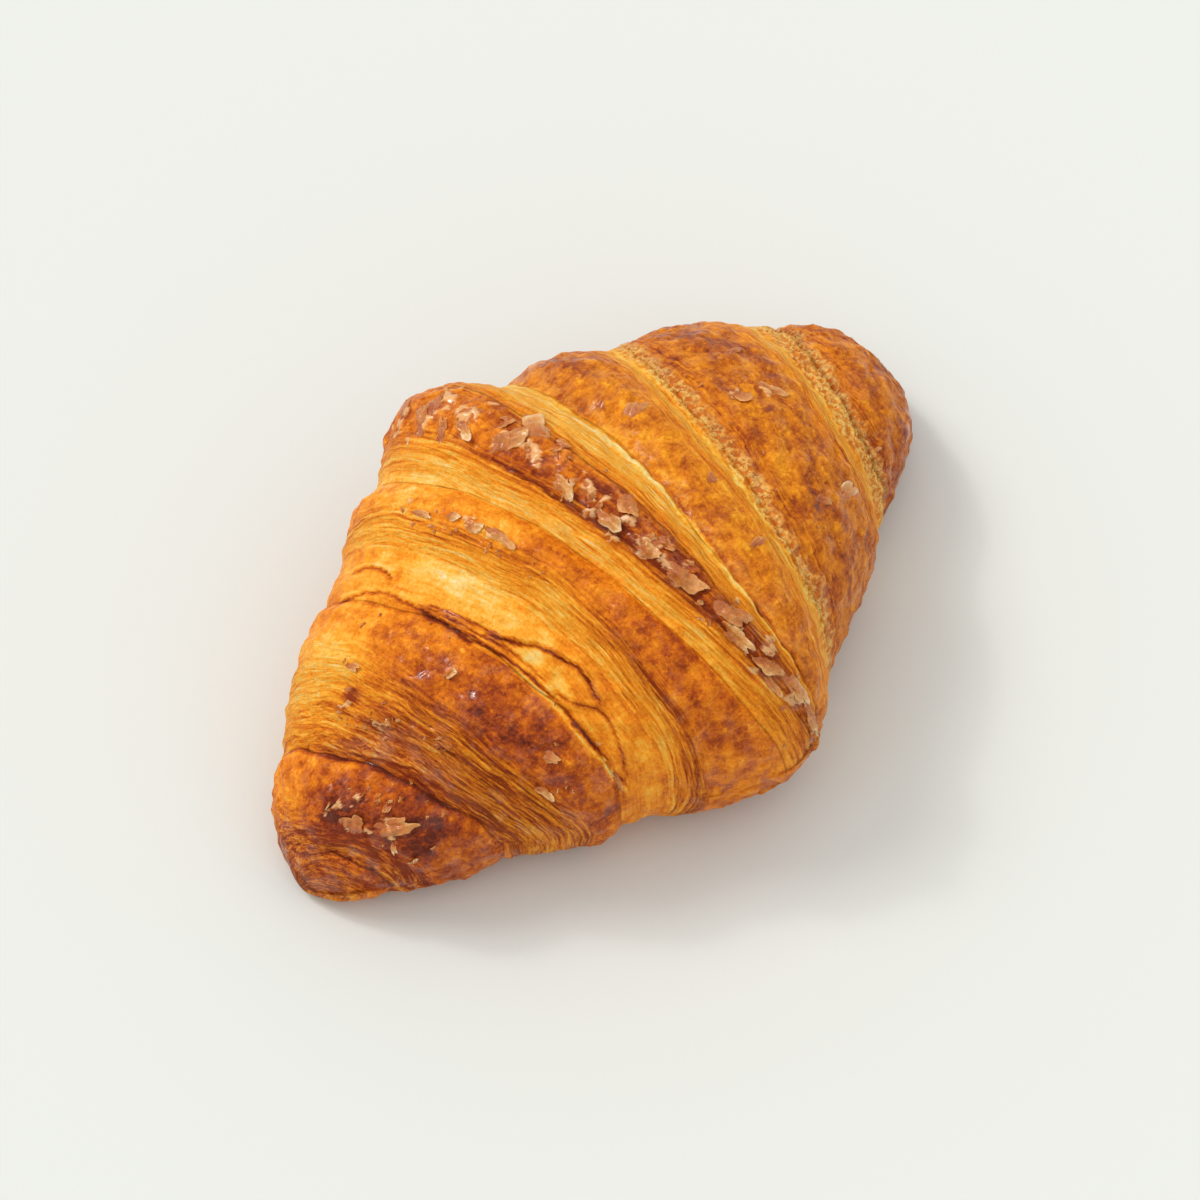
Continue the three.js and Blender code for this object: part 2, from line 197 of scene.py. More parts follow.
# Flakes that peel from the crust: (along, angle) of the two ends, width and how far the free end
# lifts in millimetres, and how pale they are
FLAKES = [
    ((-6.9, 31), (-1, 27), 4.5, 0.4, 0.5), ((-10.8, 30), (-5, 26), 4, 0.3, 0.45),
    ((-9, 19), (-2.5, 16), 3.6, 0.3, 0.4), ((-11, 37), (-6.5, 35), 3, 0.4, 0.5),
    ((-5.9, 39), (-7.8, 47), 3, 1.1, 1), ((-8.4, 53), (-0.6, 59), 4.6, 0.6, 0.75),
    ((-3.6, 56), (4.2, 60), 6.6, 0.8, 0.85), ((-3.5, 50), (-0.5, 52), 3, 0.6, 0.5),
    ((0.8, 65), (2, 71), 2, 0.6, 0.6), ((-5.3, 74), (-5.6, 85), 3.5, 1.2, 0.9),
    ((0.6, 93), (-0.9, 105), 4.6, 0.8, 0.6), ((-4.9, 93), (-4.5, 104), 3.6, 1.1, 0.95),
    ((-4.5, 108), (-3.8, 119), 2.6, 0.9, 0.8), ((-1.2, 112), (-0.4, 119), 2.4, 0.7, 0.5),
    ((-4.4, 120), (-2, 132), 4.6, 0.9, 0.7), ((-2.4, 134), (0.4, 145), 4.4, 0.8, 0.55),
    ((-3.6, 138), (-2.7, 150), 2.4, 1, 0.85), ((-2.4, 150), (-0.6, 158), 3, 0.9, 0.7),
    ((-3.1, 155), (-2.5, 161), 2, 0.8, 0.8), ((0.6, 156), (1.4, 168), 3.2, 1, 0.85),
    ((1.6, 166), (2.6, 181), 3, 0.9, 0.8), ((14.8, 73), (20.4, 71), 3.4, 0.4, 0.6),
    ((15.2, 110), (17.9, 108), 2, 0.4, 0.5), ((11.7, 132), (15.2, 132), 2, 0.5, 0.55),
    ((43.5, 68), (47.7, 69), 2, 0.4, 0.4), ((37, 85), (38.3, 96), 3, 0.5, 0.7),
    ((42.3, 89), (45, 101), 2.6, 0.5, 0.7), ((37.2, 143), (43.2, 147), 3, 0.7, 0.9),
    ((32.4, 136), (34.2, 142), 2, 0.4, 0.4), ((-69.8, 129), (-62.6, 142), 3.6, 0.8, 0.6),
    ((-72.5, 114), (-68.6, 120), 4.2, 0.6, 0.4), ((-68, 142), (-68.4, 151), 1.2, 0.7, 1),
    ((-67.8, 165), (-66, 160), 1.2, 0.7, 1), ((-40.9, 143), (-39.3, 149), 2.2, 0.6, 0.6),
    ((-45.2, 153), (-42.8, 159), 2, 0.7, 0.9), ((-33.3, 162), (-32.8, 170), 1.4, 0.5, 0.5),
    ((-44.6, 97), (-41.3, 100), 1.6, 0.8, 0.9), ((-52.2, 53), (-51.8, 64), 1.8, 0.7, 0.8),
    ((-24.3, 43), (-23.5, 51), 1.6, 0.5, 0.9), ((-21.9, 54), (-21, 61), 1.8, 0.5, 1),
    ((-21.3, 62), (-20.5, 70), 2.4, 0.5, 0.95), ((-19.6, 69), (-19.4, 82), 2.8, 0.4, 0.85),
]
FLAKE_SEED = 7
FLAKE_THICKNESS = 0.12
FLAKE_RINGS = 7
FLAKE_SPOKES = 30
FLAKE_LEAN = 0.08  # millimetres outward to a degree, as the bands lean
# Bands where small flakes are strewn: along, angle from and to, how far to each side, how many, size
STREWN = [
    (-1.5, 45, 180, 5, 16, 1.6), (-3.4, 50, 168, 2.4, 16, 1.6), (-68, 90, 165, 6, 20, 1.3),
    (-55, 60, 130, 4, 22, 1.2), (-42, 50, 165, 6, 14, 1), (-20.5, 40, 100, 1.5, 14, 1.2),
    (60, 40, 160, 3, 18, 1), (30, 50, 160, 2.5, 10, 1),
]

# Moves the body to where the CAD solid stands, centred over the origin
SKIN_SHIFT = np.array([0, 0.06, 0])

# The mesh: how far apart its rows are in each stretch, and its columns round the top and the rest
ROW_SPACING = {"cut": 0.3, "pale": 0.36, "skin": 0.42, "crown": 0.35}
LEFT_TIP_ROWS = 38
RIGHT_TIP_ROWS = 26
LEAST_GAP = 0.02  # millimetres from row to row
TOP_COLUMNS = 400
UNDER_COLUMNS = 90
UNDER_FROM, UNDER_TO = 205, 340  # degrees round a section that count as the rest
TOP_ENDS = 180  # degrees wound back from the tongue, where the rows begin to level out underneath

# The fields written to the mesh for the crust material
SKIN_FIELDS = ("browning", "cut", "dough", "crumb", "brink", "groove", "rim", "layers", "plates", "crumbs",
               "film", "relief_shading")

# What the patterns do to the browning, region by region: the pattern, its middle and its weight
# groove is painted shade in the creases and past the foot of the cut edges; relief_shading, and the layers
# and crumbs where they weigh in, paint shade in hollows and light on what stands out; pales are partly
# paler dough and partly painted highlights on the fibres
BROWNING_PATTERNS = {
    "everywhere": [("grain", 0.5, 0.5), ("groove", 0, 0.36), ("rim", 0, -0.12)],
    "baked": [("fibres", 0.5, 0.52), ("threads", 0.5, 0.28), ("bundles", 0.5, 0.3), ("seams", 0.1, 0.08),
              ("lines", 0.5, 0.06), ("strands", 0.5, 0.09), ("splinters", 0.5, 0.06)],
    "striped": [("layers", 0.1, -0.09), ("pales", 0.2, -0.05), ("relief_shading", 0, -0.03)],
    "plain": [("blotches", 0.5, 0.34), ("smears", 0.5, 0.44), ("patches", 0.5, 0.3), ("islands", 0.4, 0.08),
              ("flecks", 0.15, -0.12), ("threads", 0.5, 0.2), ("plates", 0.5, 0.07), ("chips", 0.5, 0.07),
              ("scales", 0.5, 0.06)],
    "uncrumbed": [("relief_shading", 0, -0.09)],
    "crumb": [("crumbs", 0.2, -0.1)],
    "dough": [("patches", 0.5, 0.3), ("blotches", 0.5, 0.26)],
}
# How dough colours as it browns, from raw to nearly burnt, and a flake as it pales
BROWNING_STOPS = [
    (0, 250, 228, 178), (0.14, 254, 208, 110), (0.28, 255, 183, 62), (0.4, 252, 158, 34),
    (0.52, 236, 132, 22), (0.64, 212, 110, 18), (0.76, 180, 80, 16), (0.88, 144, 54, 14), (1, 98, 32, 12),
]
FLAKE_STOPS = [(0, 176, 80, 22), (0.35, 204, 114, 42), (0.7, 228, 158, 86), (1, 252, 214, 164)]

# The photograph's view: its frame is 1200 pixels a side
FRAME_PX = 1200
FOCAL_PX = 6350
SCALE_PX = 5.125  # pixels to a millimetre at the croissant
ORIGIN_PX = (605.9, 641.5)
LOOK_AZIMUTH = -46.2
LOOK_DOWN = 60
SENSOR_WIDTH = 36


def smoothstep(x, low, high):
    share = np.clip((x - low) / (high - low), 0, 1)
    return share * share * (3 - 2 * share)


def blend(a, b, share):
    return a + (b - a) * share


def peak(x, at, width):
    """1 at the place, falling away to both sides of it over the width."""
    return np.exp(-(((x - at) / width) ** 2))


def through(knots, values, x):
    """A smooth curve through the values at the knots, straight beyond them."""
    knots = np.asarray(knots, float)
    values = np.asarray(values, float)
    before = np.maximum(np.arange(len(knots)) - 1, 0)
    after = np.minimum(np.arange(len(knots)) + 1, len(knots) - 1)
    slope = (values[after] - values[before]) / (knots[after] - knots[before])
    i = np.clip(np.searchsorted(knots, x, side="right") - 1, 0, len(knots) - 2)
    gap = knots[i + 1] - knots[i]
    u = np.clip((x - knots[i]) / gap, 0, 1)
    inside = ((1 + 2 * u) * (1 - u) ** 2 * values[i] + u * (1 - u) ** 2 * gap * slope[i]
              + u * u * (3 - 2 * u) * values[i + 1] + u * u * (u - 1) * gap * slope[i + 1])
    return inside + np.minimum(x - knots[0], 0) * slope[0] + np.maximum(x - knots[-1], 0) * slope[-1]


def fullness(what, along):
    return through(STATIONS["at"], STATIONS[what], along)


def body(tilt, angle):
    """The plain body. tilt is -pi/2 to pi/2 from tip to tip, angle goes round from +Y over the top."""
    along = HALF_LENGTH * np.sin(tilt)
    closing = np.maximum(np.cos(tilt), 1e-6)
    half_width = fullness("half_width", along) * closing
    height = fullness("height", along) * closing ** HEIGHT_ROUNDING
    widest_z = TIP_LIFT * np.sin(tilt) ** 4 + WIDEST_AT * height
    across, up = np.cos(angle), np.sin(angle)
    rise = np.where(up > 0, (1 - WIDEST_AT) * height, WIDEST_AT * height * BOTTOM_PRESS)
    power = np.where(up > 0, TOP_SQUARENESS, BOTTOM_SQUARENESS)
    reach = (np.abs(across / half_width) ** power + np.abs(up / rise) ** power) ** (-1 / power)
    y = fullness("offset", along) + reach * across
    return np.stack([along + 0 * reach, y, widest_z + reach * up], -1)


def body_normal(tilt, angle):
    step = 1e-3
    steepest = math.pi / 2 - 0.02
    inside = np.clip(tilt, -steepest, steepest)
    along_body = body(inside + step, angle) - body(inside - step, angle)
    round_body = body(inside, angle + step) - body(inside, angle - step)
    normal = np.cross(round_body, along_body)
    return normal / np.linalg.norm(normal, axis=-1, keepdims=True)


def on_body(along, angle):
    """Points on the plain body and its outward normals, from lists of places along and round it."""
    tilt = np.arcsin(np.clip(np.asarray(along, float) / HALF_LENGTH, -1, 1))
    turned = np.radians(angle)
    return body(tilt, turned), body_normal(tilt, turned)


def meridian(along):
    """The distance over the surface from the middle, for a place along the body."""
    tilt = np.linspace(-math.pi / 2, math.pi / 2, 721)
    speed = np.hypot(HALF_LENGTH * np.cos(tilt), END_RADIUS * np.sin(tilt))
    walked = np.concatenate([[0], np.cumsum((speed[1:] + speed[:-1]) / 2 * np.diff(tilt))])
    return np.interp(along, HALF_LENGTH * np.sin(tilt), walked - walked[len(walked) // 2])


class Side:
    """The wraps of one side, outward -1 for the left and 1 for the right."""

    def __init__(self, wraps, outward):
        self.outward = outward
        self.turns = len(wraps)
        self.curves = {what: self.helix(wraps, what) for what in wraps[0]}

    @staticmethod
    def helix(wraps, what):
        knots = [turn * TURN + at for turn in range(len(wraps)) for at in MEASURED_AT]
        listed = [wrap[what] if isinstance(wrap[what], list) else [wrap[what]] * 4 for wrap in wraps]
        values = [value for places in listed for value in places]
        return lambda unrolled: through(knots, values, unrolled)

    def wander(self, unrolled):
        turned = np.radians(unrolled)
        waves = 0.5 * np.sin(5.3 * turned + self.outward) + 0.3 * np.sin(11.7 * turned + 2 * self.outward)
        return LIP_WANDER * smoothstep(unrolled, 0, 60) * waves

    def edges(self, turn, wound):
        """Where a wrap's lip, the foot of its cut edge and the crease after it lie, and its drop."""
        unrolled = turn * TURN + wound
        closing = 0.3 if turn == self.turns - 1 else 1
        lip = self.curves["lip"](unrolled) + self.wander(unrolled) * closing
        following = self.curves["next"](unrolled) + self.wander(unrolled + 40) * closing
        foot = blend(lip, following, np.clip(self.curves["cut"](unrolled), 0.3, 0.97))
        drop = np.maximum(self.curves["drop"](unrolled), 0)
        return lip, foot, following, drop

    def value(self, what, turn, wound):
        last = (self.turns - 1) * TURN + MEASURED_AT[-1]
        return self.curves[what](np.minimum(turn * TURN + wound, last))


LEFT = Side(LEFT_WRAPS, -1)
RIGHT = Side(RIGHT_WRAPS, 1)


def wrap_relief(along, wound):
    """How far the wraps raise or lower the body, as in the CAD source."""
    seam_fade = smoothstep(wound, 0, 30) * (1 - smoothstep(wound, 330, 360))
    left_lip = LEFT.edges(0, wound)[0]
    right_lip = RIGHT.edges(0, wound)[0]
    width = right_lip - left_lip
    share = (along - left_lip) / np.maximum(width, 0.1)
    total = CROWN_SWELL * seam_fade * np.sin(math.pi * np.clip(share, 0, 1)) * smoothstep(width, 0, 10)
    for side, beyond in ((LEFT, along < left_lip), (RIGHT, along > right_lip)):
        relief = np.zeros_like(along)
        out = side.outward * along
        before_next, before_drop = None, None
        for turn in range(side.turns):
            lip, foot, following, drop = side.edges(turn, wound)
            if turn > 0:
                skin = (out < side.outward * lip) & (out >= side.outward * before_next)
                share = np.clip((along - before_next) / (lip - before_next), 0, 1)
                swell = SKIN_SWELL * seam_fade * np.sin(math.pi * share)
                relief = np.where(skin, before_drop * (swell - (1 - share) ** SKIN_RISE), relief)
            fall = smoothstep(out, side.outward * lip, side.outward * foot)
            relief = np.where(out >= side.outward * lip, -drop * fall, relief)
            crease = side.value("crease", turn, wound)
            relief = relief - crease * seam_fade * peak(along, following, CREASE_WIDTH)
            before_next, before_drop = following, drop
        total = np.where(beyond, relief, total)
    return total


def side_fields(side, start, walked, wound, ragged):
    """The fields of one side's wraps, laid wrap by wrap over those of the middle wrap."""
    now = dict(start)
    for turn in range(side.turns):
        lip, foot, following, _ = side.edges(turn, wound)
        out, foot_out, next_out = (side.outward * (place - meridian(lip))
                                   for place in (walked, meridian(foot), meridian(following)))
        soft, line, hem, crumb, scorch, edge, dough = (
            side.value(what, turn, wound)
            for what in ("soft", "line", "hem", "crumb", "scorch", "edge", "dough"))
        past_lip = smoothstep(out + 0.5 * ragged, -1.7 * soft, 0.7 * soft)
        past_foot = smoothstep(out + ragged, foot_out - FOOT_BLUR, foot_out + FOOT_BLUR)
        past_next = smoothstep(out + 0.1 * ragged, next_out - CREASE_BLUR, next_out + CREASE_BLUR)
        now["cut"] = blend(blend(now["cut"], 1, past_lip), 0, past_foot)
        now["dough"] = blend(blend(now["dough"], 1, past_foot), 0, past_next)
        now["crown"] = now["crown"] * (1 - past_lip)

        down_cut = np.clip(out / np.maximum(foot_out, 1), 0, 1)
        edge = blend(edge - 0.05, dough, down_cut ** 2) + scorch * (1 - down_cut) ** 2
        now["browning"] = blend(blend(now["browning"], edge, past_lip), dough, past_foot)

        spilled = out + 0.9 * ragged - next_out - 0.2 - CRUMB_SPILL * (1 - line)
        crumbly = crumb * smoothstep(out + 0.6 * ragged, foot_out, foot_out + 1.4)
        now["crumb"] = np.maximum(now["crumb"], crumbly * (1 - smoothstep(spilled, -1.4, 0.4)))
        brink = np.maximum(crumb * peak(spilled, 1.2, 1.6), peak(out + 0.3 * ragged, 0, BRINK_WIDTH))
        now["brink"] = np.maximum(now["brink"], brink)
        # Painted shade in the crease, and, as hem asks, just past the foot of the cut edge; the pale rim
        # lies beside both
        now["groove"] = (now["groove"] + line * peak(out, next_out, LINE_WIDTH)
                         + 0.3 * hem * peak(out, foot_out + 0.5, 0.35))
        now["rim"] = now["rim"] + hem * peak(out, foot_out - 0.2, 0.4) + line * peak(out, next_out + 1, 0.5)

        beyond = out >= next_out
        to_lip = out - next_out - 20
        if turn + 1 < side.turns:
            now["browning"] = blend(now["browning"], side.value("skin", turn + 1, wound), past_next)
            to_lip = side.outward * (walked - meridian(side.edges(turn + 1, wound)[0]))
        now["across"] = np.where(beyond, to_lip, np.where(out >= 0, out, now["across"]))
        now["strip"] = np.where(beyond, wound + TURN * (turn + 1), now["strip"])
    return now


def wrap_fields(along, wound, ragged):
    """What lies at each point: masks of cut edge, dough, crumb, brink, crown, painted crease shade and rim,
    how brown it is, and its place on the strip of dough, across it from the lip and along it from the
    tongue.
    ragged moves the boundaries of the colours to and fro, in millimetres."""
    left_lip = LEFT.edges(0, wound)[0]
    right_lip = RIGHT.edges(0, wound)[0]
    walked = meridian(along)
    blank = np.zeros_like(along)
    start = dict.fromkeys(("cut", "dough", "crumb", "brink", "groove", "rim"), blank)
    start.update(crown=1 + blank, browning=LEFT.value("skin", 0, wound), strip=wound + blank,
                 across=walked - meridian(left_lip))
    left, right = (side_fields(side, start, walked, wound, ragged) for side in (LEFT, RIGHT))
    right["across"] = right["across"] + RIGHT_ACROSS
    on_left = along < (left_lip + right_lip) / 2
    return {name: np.where(on_left, left[name], right[name]) for name in start}


def perlin(points, octaves=1):
    """Smooth noise from about -1 to 1 at each point of an array of shape (n, 3)."""
    if octaves == 1:
        return np.array([noise.noise(point) for point in points.tolist()])
    return np.array([noise.fractal(point, 1.0, 2.0, octaves) for point in points.tolist()])


def strip_points(fields, across_size, along_size):
    """Where each point lies on the rolled strip, scaled so that noise has these lengths on it."""
    around = np.radians(fields["strip"]) * STRIP_RADIUS
    return np.stack([fields["across"] / across_size, around / along_size, 0 * around], -1)


def crags(points):
    """The broad unevenness of the whole crust."""
    x, y, z = points.T
    broad = np.sin(x * 0.71 + 1.9 * np.sin(y * 0.23)) * np.sin(y * 0.53 + z * 0.37)
    return CRAG_HEIGHT * (broad + 0.6 * np.sin(x * 1.37 + z * 0.9) * np.sin(y * 1.13 + 2))


def fine_relief(points, fields):
    """The layers of the cut edges, the crumbs and the blistered plates of the skins: gives their
    height, and adds to the fields how high in its own kind of relief each point lies."""
    stretched = strip_points(fields, LAYER_SPACING, LAYER_LENGTH)
    stretched[:, 0] += 1.2 * perlin(strip_points(fields, 6, 20)) + 0.35 * perlin(points / 1.7)
    ridges = 1 - 3 * np.abs(perlin(stretched))
    threads = perlin(stretched * [2.6, 2.2, 1] + 31.7)
    broken = 0.55 + 0.45 * perlin(strip_points(fields, 2.5, 6) + 11.3)
    layers = ridges * broken + 0.45 * threads
    skin = 1 - np.maximum(fields["cut"], fields["dough"])
    blisters = perlin(points / BLISTER_SIZE, 4)
    plates = skin * smoothstep(perlin(points / PLATE_SIZE + 7.3, 5), 0.0, 0.09)
    crumbs = np.maximum(0.7 - 2.4 * np.abs(perlin(points / CRUMB_SIZE + 3.1, 3)), -0.5)
    crisp = 0.75 + 0.8 * smoothstep(fields["browning"], 0.45, 0.75)
    fields.update(layers=layers, blisters=blisters, plates=plates, crumbs=crumbs)
    return (LAYER_HEIGHT * crisp * (fields["cut"] + 0.45 * fields["dough"]) * layers
            + BLISTER_HEIGHT * skin * blisters
            + blend(PLATE_HEIGHT, CROWN_PLATE_HEIGHT, fields["crown"]) * plates
            + CRUMB_HEIGHT * fields["crumb"] * crumbs)


def spot(points, along, angle, reach):
    """1 at a place on the body, falling away all round it over the reach."""
    centre, _ = on_body([along], [angle])
    return peak(np.linalg.norm(points - centre, axis=1), 0, reach)


def film_relief(points, fields):
    """Raises the blown-up films, wrinkled and uneven at their edges, and marks where they are."""
    zone = np.zeros(len(points))
    for along, angle, reach in FILMED:
        zone = np.maximum(zone, spot(points, along, angle, reach))
    near = np.flatnonzero(zone > 0.2)
    film, wrinkles = np.zeros((2, len(points)))
    film[near] = smoothstep(perlin(points[near] / FILM_SIZE + 2.7, 3) + zone[near] - 0.86, 0, 0.07)
    wrinkles[near] = perlin(points[near] / 1.5 + 8.1, 2)
    fields["film"] = film
    return FILM_HEIGHT * film * (0.7 + 1.3 * wrinkles)


def beside_tear(tear, points, normals):
    """Which points are near a tear, how far each lies to the side that rises, and how much of the tear
    is there, fading to nothing at its ends."""
    knots = np.arange(len(tear["route"]))
    steps = np.linspace(0, knots[-1], 12 * len(knots))
    line, _ = on_body(*(through(knots, places, steps) for places in zip(*tear["route"])))
    low, high = line.min(axis=0) - TEAR_REACH, line.max(axis=0) + TEAR_REACH
    near = np.flatnonzero(((points > low) & (points < high)).all(axis=1))
    away = points[near][:, None] - line[None]
    closest = (away ** 2).sum(-1).argmin(axis=1)
    away = away[np.arange(len(near)), closest]
    beside = np.cross(normals[near], np.gradient(line, axis=0)[closest])
    beside /= np.linalg.norm(beside, axis=1, keepdims=True)
    rising = tear.get("rise", 1) * (away * beside).sum(axis=1)
    offset = rising + TEAR_WANDER * perlin(points[near] / 2.1, 2)
    share = closest / (len(line) - 1)
    within = np.linalg.norm(away, axis=1) < TEAR_REACH
    taper = smoothstep(share, 0, 0.12) * (1 - smoothstep(share, 0.86, 1)) * within
    return near, offset, taper


def tear_relief(points, normals, fields):
    """Raises and browns the torn layer edges, and spreads the broad patches of browning."""
    relief = np.zeros(len(points))
    for tear in TEARS:
        near, offset, taper = beside_tear(tear, points, normals)
        layer = smoothstep(offset, -0.15, 0.2) * np.exp(-np.maximum(offset, 0) / 2.2)
        gap = peak(offset, -0.26, 0.28)
        strands = tear.get("strands", 0) * taper * peak(offset, -0.2, 1.4)
        relief[near] += taper * tear["height"] * (layer - 0.4 * gap)
        # The hollow beside the raised edge is browned, partly as baked and partly as painted shade
        browner = tear["gap"] * gap + tear["rim"] * peak(offset, 0.4, 0.36)
        fields["browning"][near] += taper * browner + 0.6 * strands
        fields["brink"][near] = np.maximum(fields["brink"][near], np.minimum(8 * strands, 1))
    for along, angle, reach, amount in BROWNED_PATCHES:
        fields["browning"] += amount * spot(points, along, angle, reach)
    return relief


def edge_curve(side, turn, which):
    """An edge of a wrap as a curve of the angle: 0 its lip, 1 the foot of its cut edge, 2 its crease."""
    return lambda wound: side.edges(turn, wound)[which]


def between(start, end, share):
    """The curve that lies this share of the way from one curve to another."""
    return lambda wound: blend(start(wound), end(wound), share)


def towards_tip(side, share):
    """The curve that lies this share of the way from the last lip to the tip."""
    def place(wound):
        lip = side.edges(side.turns - 1, wound)[0]
        start = np.arcsin(np.clip(lip / HALF_LENGTH, -1, 1))
        return HALF_LENGTH * np.sin(blend(start, side.outward * math.pi / 2, share))
    return place


def side_rows(side, tip_rows):
    """The mesh rows from the middle wrap's lip out to the tip, each a curve of the angle."""
    rows = []
    for turn in range(side.turns - 1):
        lip, foot, following = (edge_curve(side, turn, which) for which in range(3))
        coming = edge_curve(side, turn + 1, 0)
        stretches = (lip, foot, "cut"), (foot, following, "pale"), (following, coming, "skin")
        for start, end, stretch in stretches:
            long = abs(meridian(end(CROWN_AT)) - meridian(start(CROWN_AT)))
            count = max(2, round(long / ROW_SPACING[stretch]))
            rows += [between(start, end, row / count) for row in range(count)]
    rows.append(edge_curve(side, side.turns - 1, 0))
    return rows + [towards_tip(side, (row + 1) / (tip_rows + 1)) for row in range(tip_rows)]


def skin_rows():
    """All the mesh rows, from the left tip to the right tip."""
    left_lip, right_lip = edge_curve(LEFT, 0, 0), edge_curve(RIGHT, 0, 0)
    count = round(abs(right_lip(CROWN_AT) - left_lip(CROWN_AT)) / ROW_SPACING["crown"])
    crown = [between(left_lip, right_lip, (row + 1) / count) for row in range(count - 1)]
    return side_rows(LEFT, LEFT_TIP_ROWS)[::-1] + crown + side_rows(RIGHT, RIGHT_TIP_ROWS)


def skin_points():
    """Where the skin's points lie, along by angle, as arrays of rows by columns."""
    under = np.linspace(UNDER_FROM, UNDER_TO, UNDER_COLUMNS, endpoint=False)
    top = np.linspace(UNDER_TO, UNDER_FROM + TURN, TOP_COLUMNS, endpoint=False)
    angles = np.concatenate([under, top]) % TURN
    wound = (TONGUE_ANGLE - angles) % TURN
    on_top = wound <= TOP_ENDS
    crossing = smoothstep(wound, TOP_ENDS, TURN)
    rows = []
    for place in skin_rows():
        top_end, tongue = place(np.array([TOP_ENDS, 0.0]))
        level = blend(top_end, tongue, crossing)
        rows.append(np.where(on_top, place(np.where(on_top, wound, TOP_ENDS)), level))
    along = np.array(rows)
    for row in range(1, len(along)):
        along[row] = np.maximum(along[row], along[row - 1] + LEAST_GAP)
    along = np.clip(along, -HALF_LENGTH + 0.01, HALF_LENGTH - 0.01)
    return along, np.broadcast_to(angles, along.shape)


def standing_out(relief, shape):
    """How far each point of the grid stands above the relief around it, as a share of a tenth of a
    millimetre, from -1 in a hollow to 1."""
    grid = relief.reshape(shape)
    around = np.zeros(shape)
    steps = range(-HOLLOW_REACH, HOLLOW_REACH + 1)
    for rows in steps:
        moved = grid[np.clip(np.arange(shape[0]) + rows, 0, shape[0] - 1)]
        for columns in steps:
            around += np.roll(moved, columns, axis=1)
    return np.clip((grid - around / len(steps) ** 2) / 0.1, -1, 1).ravel()


def shape_skin(along, angle):
    """The finished surface at each point of the grid, row by row, and the fields that colour it."""
    shape = along.shape
    along, angle = along.ravel(), angle.ravel()
    tilt = np.arcsin(along / HALF_LENGTH)
    turned = np.radians(angle)
    wound = (TONGUE_ANGLE - angle) % TURN
    points = body(tilt, turned)
    normals = body_normal(tilt, turned)
    ragged = 1.3 * perlin(points / 7 + 5.1, 2) + 0.8 * perlin(points / 1.8, 2)
    fields = wrap_fields(along, wound, ragged)
    fade = smoothstep(np.cos(tilt), 0.05, 0.35)
    wraps = wrap_relief(along, wound) * fade
    relief = fine_relief(points, fields) + film_relief(points, fields)
    relief = relief + tear_relief(points, normals, fields)
    # How far each point stands out of its relief, which the crust material uses to paint shade in the
    # hollows and light on what stands out
    fields["relief_shading"] = standing_out(relief, shape)
    points = points + normals * (wraps + (crags(points) + relief) * np.maximum(fade, 0.4))[:, None]
    tray = UNDERSIDE_SHARE * np.maximum(-wraps, 0) + 0.15 * np.maximum(fields["blisters"], 0)
    pressed = smoothstep(tray + 1.2 - points[:, 2], 0, 1.2)
    points[:, 2] = np.maximum(points[:, 2], tray)
    fields["browning"] = blend(fields["browning"], TRAY_BROWNING, pressed)
    return points, fields


def add_object(name, data):
    made = bpy.data.objects.new(name, data)
    bpy.context.scene.collection.objects.link(made)
    return made


def smooth_mesh(name, points, faces):
    """A mesh from points in millimetres, shaded smooth."""
    mesh = bpy.data.meshes.new(name)
    mesh.from_pydata((points * MM).tolist(), [], faces)
    mesh.polygons.foreach_set("use_smooth", [True] * len(mesh.polygons))
    return mesh


def write_field(mesh, name, values):
    """Gives each point of a mesh its value, or its vector of three."""
    values = np.asarray(values, np.float32)
    kind, slot = ("FLOAT", "value") if values.ndim == 1 else ("FLOAT_VECTOR", "vector")
    mesh.attributes.new(name, kind, "POINT").data.foreach_set(slot, values.ravel())


def grid_faces(rows, columns):
    """The quads between the rows, and the triangles that close both ends on the two tip points."""
    here = np.arange(columns)
    beside = (here + 1) % columns
    start = np.arange(rows - 1)[:, None] * columns
    quads = np.stack([start + here, start + beside, start + beside + columns, start + here + columns], -1)
    left_tip, last = rows * columns, (rows - 1) * columns
    pairs = list(zip(here.tolist(), beside.tolist()))
    caps = [(left_tip, b, a) for a, b in pairs] + [(left_tip + 1, last + a, last + b) for a, b in pairs]
    return quads.reshape(-1, 4).tolist() + caps


def lay_out_map(mesh, rows, columns):
    """A texture map that unrolls the grid, for when the material is baked."""
    u = np.arange(columns + 1) / columns
    v = (np.arange(rows) + 1) / (rows + 1)
    left, right = u[:-1], u[1:]
    middle = (left + right) / 2
    low, high = v[:-1, None], v[1:, None]

    def corners(*places):
        return np.stack([np.stack(np.broadcast_arrays(*place), -1) for place in places], -2).ravel()

    flat = np.concatenate([
        corners((left, low), (right, low), (right, high), (left, high)),
        corners((middle, 0), (right, v[0]), (left, v[0])),
        corners((middle, 1), (left, v[-1]), (right, v[-1])),
    ])
    mesh.uv_layers.new(name="OFBake").data.foreach_set("uv", flat.astype(np.float32))


def build_skin():
    along, angle = skin_points()
    rows, columns = along.shape
    points, fields = shape_skin(along, angle)
    tips = [[end, *ring[:, 1:].mean(axis=0)]
            for end, ring in ((-HALF_LENGTH, points[:columns]), (HALF_LENGTH, points[-columns:]))]
    everything = np.concatenate([points, tips]) + SKIN_SHIFT
    mesh = smooth_mesh("crust_skin", everything, grid_faces(rows, columns))
    fields["strip"] = strip_points(fields, 1, 1)
    for name in (*SKIN_FIELDS, "strip"):
        write_field(mesh, name, np.concatenate([fields[name], fields[name][[0, -1]]]))
    lay_out_map(mesh, rows, columns)
    return add_object("crust_skin", mesh)


